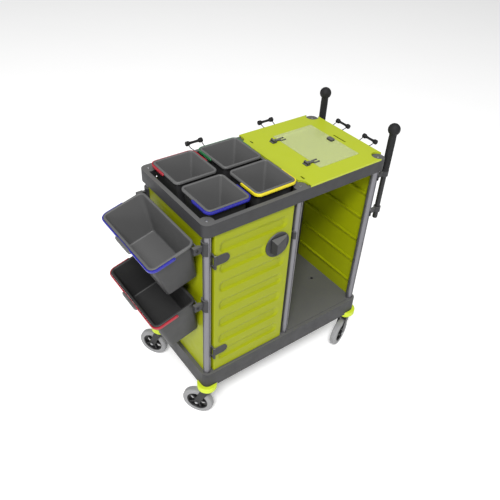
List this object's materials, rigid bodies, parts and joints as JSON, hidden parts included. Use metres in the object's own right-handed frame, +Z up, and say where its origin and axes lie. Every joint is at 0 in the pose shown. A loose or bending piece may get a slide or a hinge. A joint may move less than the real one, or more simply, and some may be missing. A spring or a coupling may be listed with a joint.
{
  "type": "housekeeping cart",
  "caption": "Housekeeping cart on swivel casters with a ribbed cupboard, open bay, covered waste opening, colour-coded buckets, hanging buckets, push handles and mop holders.",
  "frame": {"origin": "on the floor, midway along and across the whole cart's box", "axes": "+X from the hanging buckets towards the push handles, +Y from the door side to the back, +Z up"},
  "size_m": [1.2298, 0.6062, 1.271],
  "materials": {
    "grey_plastic": "moulded, fine grain",
    "bucket_grey": "moulded polypropylene, satin",
    "lime_plastic": "moulded polypropylene, satin",
    "lime_cover": "moulded polypropylene, satin",
    "aluminium": "anodised, satin",
    "steel": "zinc plated",
    "black_wire": "black powder coat",
    "grey_metal": "grey powder coat",
    "black_plastic": "moulded, satin",
    "black_rubber": "soft, matt",
    "grey_tyre": "non-marking grey rubber",
    "lime_rubber": "soft buffer, satin",
    "clear_sheet": "clear polycarbonate",
    "blue_plastic": "moulded, semi-gloss",
    "red_plastic": "moulded, semi-gloss",
    "yellow_plastic": "moulded, semi-gloss",
    "green_plastic": "moulded, semi-gloss"
  },
  "bodies": {
    "chassis": {"base_tray": "grey_plastic", "top_tray": "grey_plastic", "frame_posts": "aluminium", "left_end_panel": "lime_plastic", "right_end_panel": "lime_plastic", "middle_partition": "lime_plastic", "back_panels": "lime_plastic", "bucket_shelf": "grey_plastic", "door_hinge_brackets": "grey_plastic", "door_hinge_pins": "steel", "door_strike": "grey_plastic", "bucket_brackets": "grey_plastic", "hanger_bars": "grey_metal", "caster_stems": "steel", "caster_bumpers": "lime_rubber", "push_bars": "black_wire", "handle_grips": "black_rubber", "handle_clamps": "grey_plastic", "holder_frames": "black_wire", "holder_clips": "black_rubber", "tray_screws": "steel"},
    "door": {"door_panel": "lime_plastic", "door_hinge_straps": "grey_plastic", "door_escutcheon": "grey_plastic"},
    "knob": {"door_knob": "grey_plastic", "latch_cam": "steel"},
    "cover": {"top_cover": "lime_cover", "flap_hinge_plates": "grey_plastic", "flap_hinge_pins": "steel"},
    "flap": {"clear_flap": "clear_sheet", "flap_hinge_leaves": "grey_plastic", "flap_pull": "grey_plastic"},
    "blue_pail": {"blue_bucket": "bucket_grey"},
    "blue_pail_bail": {"blue_bail": "blue_plastic"},
    "yellow_pail": {"yellow_bucket": "bucket_grey"},
    "yellow_pail_bail": {"yellow_bail": "yellow_plastic"},
    "red_pail": {"red_bucket": "bucket_grey"},
    "red_pail_bail": {"red_bail": "red_plastic"},
    "green_pail": {"green_bucket": "bucket_grey"},
    "green_pail_bail": {"green_bail": "green_plastic"},
    "upper_pail": {"upper_bucket": "bucket_grey"},
    "upper_pail_bail": {"upper_bail": "blue_plastic"},
    "lower_pail": {"lower_bucket": "bucket_grey"},
    "lower_pail_bail": {"lower_bail": "red_plastic"},
    "swivel_front_left": {"fork_front_left": "black_plastic", "axle_front_left": "steel"},
    "wheel_front_left": {"hub_front_left": "black_plastic", "tyre_front_left": "grey_tyre"},
    "swivel_front_right": {"fork_front_right": "black_plastic", "axle_front_right": "steel"},
    "wheel_front_right": {"hub_front_right": "black_plastic", "tyre_front_right": "grey_tyre"},
    "swivel_back_left": {"fork_back_left": "black_plastic", "axle_back_left": "steel"},
    "wheel_back_left": {"hub_back_left": "black_plastic", "tyre_back_left": "grey_tyre"},
    "swivel_back_right": {"fork_back_right": "black_plastic", "axle_back_right": "steel"},
    "wheel_back_right": {"hub_back_right": "black_plastic", "tyre_back_right": "grey_tyre"}
  },
  "joints": [
    {"name": "door_hinge", "type": "hinge", "parent": "chassis", "child": "door", "pos_m": [-0.35008, -0.27458, 0.686], "axis": [0, 0, -1], "range_deg": [0, 170]},
    {"name": "knob_turn", "type": "hinge", "parent": "door", "child": "knob", "pos_m": [-0.04208, -0.26458, 0.898], "axis": [0, -1, 0], "range_deg": [0, 90]},
    {"name": "cover_lift", "type": "slide", "parent": "chassis", "child": "cover", "axis": [0, 0, 1], "range_m": [0, 0.15]},
    {"name": "flap_hinge", "type": "hinge", "parent": "cover", "child": "flap", "pos_m": [0.18992, -0.02958, 1.147], "axis": [0, -1, 0], "range_deg": [0, 110]},
    {"name": "blue_pail_lift", "type": "slide", "parent": "chassis", "child": "blue_pail", "axis": [0, 0, 1], "range_m": [0, 0.25]},
    {"name": "blue_bail_swing", "type": "hinge", "parent": "blue_pail", "child": "blue_pail_bail", "pos_m": [-0.26558, -0.14408, 1.1535], "axis": [-1, 0, 0], "range_deg": [0, 100]},
    {"name": "yellow_pail_lift", "type": "slide", "parent": "chassis", "child": "yellow_pail", "axis": [0, 0, 1], "range_m": [0, 0.25]},
    {"name": "yellow_bail_swing", "type": "hinge", "parent": "yellow_pail", "child": "yellow_pail_bail", "pos_m": [-0.04458, -0.14408, 1.1535], "axis": [-1, 0, 0], "range_deg": [0, 100]},
    {"name": "red_pail_lift", "type": "slide", "parent": "chassis", "child": "red_pail", "axis": [0, 0, 1], "range_m": [0, 0.25]},
    {"name": "red_bail_swing", "type": "hinge", "parent": "red_pail", "child": "red_pail_bail", "pos_m": [-0.26558, 0.07692, 1.1535], "axis": [1, 0, 0], "range_deg": [0, 100]},
    {"name": "green_pail_lift", "type": "slide", "parent": "chassis", "child": "green_pail", "axis": [0, 0, 1], "range_m": [0, 0.25]},
    {"name": "green_bail_swing", "type": "hinge", "parent": "green_pail", "child": "green_pail_bail", "pos_m": [-0.04458, 0.07692, 1.1535], "axis": [1, 0, 0], "range_deg": [0, 100]},
    {"name": "upper_pail_lift", "type": "slide", "parent": "chassis", "child": "upper_pail", "axis": [-0.2756, 0, 0.9613], "range_m": [0, 0.15]},
    {"name": "upper_bail_swing", "type": "hinge", "parent": "upper_pail", "child": "upper_pail_bail", "pos_m": [-0.50474, -0.03108, 1.00683], "axis": [0, 1, 0], "range_deg": [0, 100]},
    {"name": "lower_pail_lift", "type": "slide", "parent": "chassis", "child": "lower_pail", "axis": [-0.2756, 0, 0.9613], "range_m": [0, 0.07]},
    {"name": "lower_bail_swing", "type": "hinge", "parent": "lower_pail", "child": "lower_pail_bail", "pos_m": [-0.50474, -0.03108, 0.71483], "axis": [0, 1, 0], "range_deg": [0, 80]},
    {"name": "swivel_turn_front_left", "type": "hinge", "parent": "chassis", "child": "swivel_front_left", "pos_m": [-0.37108, -0.24958, 0.167], "axis": [0, 0, 1], "continuous": true},
    {"name": "wheel_spin_front_left", "type": "hinge", "parent": "swivel_front_left", "child": "wheel_front_left", "pos_m": [-0.39689, -0.21272, 0.075], "axis": [-0.8192, -0.5736, 0], "continuous": true},
    {"name": "swivel_turn_front_right", "type": "hinge", "parent": "chassis", "child": "swivel_front_right", "pos_m": [0.50892, -0.24958, 0.167], "axis": [0, 0, 1], "continuous": true},
    {"name": "wheel_spin_front_right", "type": "hinge", "parent": "swivel_front_right", "child": "wheel_front_right", "pos_m": [0.46663, -0.26497, 0.075], "axis": [0.342, -0.9397, 0], "continuous": true},
    {"name": "swivel_turn_back_left", "type": "hinge", "parent": "chassis", "child": "swivel_back_left", "pos_m": [-0.37108, 0.18742, 0.167], "axis": [0, 0, 1], "continuous": true},
    {"name": "wheel_spin_back_left", "type": "hinge", "parent": "swivel_back_left", "child": "wheel_back_left", "pos_m": [-0.39426, 0.22599, 0.075], "axis": [-0.8572, -0.515, 0], "continuous": true},
    {"name": "swivel_turn_back_right", "type": "hinge", "parent": "chassis", "child": "swivel_back_right", "pos_m": [0.50892, 0.18742, 0.167], "axis": [0, 0, 1], "continuous": true},
    {"name": "wheel_spin_back_right", "type": "hinge", "parent": "swivel_back_right", "child": "wheel_back_right", "pos_m": [0.49353, 0.22971, 0.075], "axis": [-0.9397, -0.342, 0], "continuous": true}
  ]
}
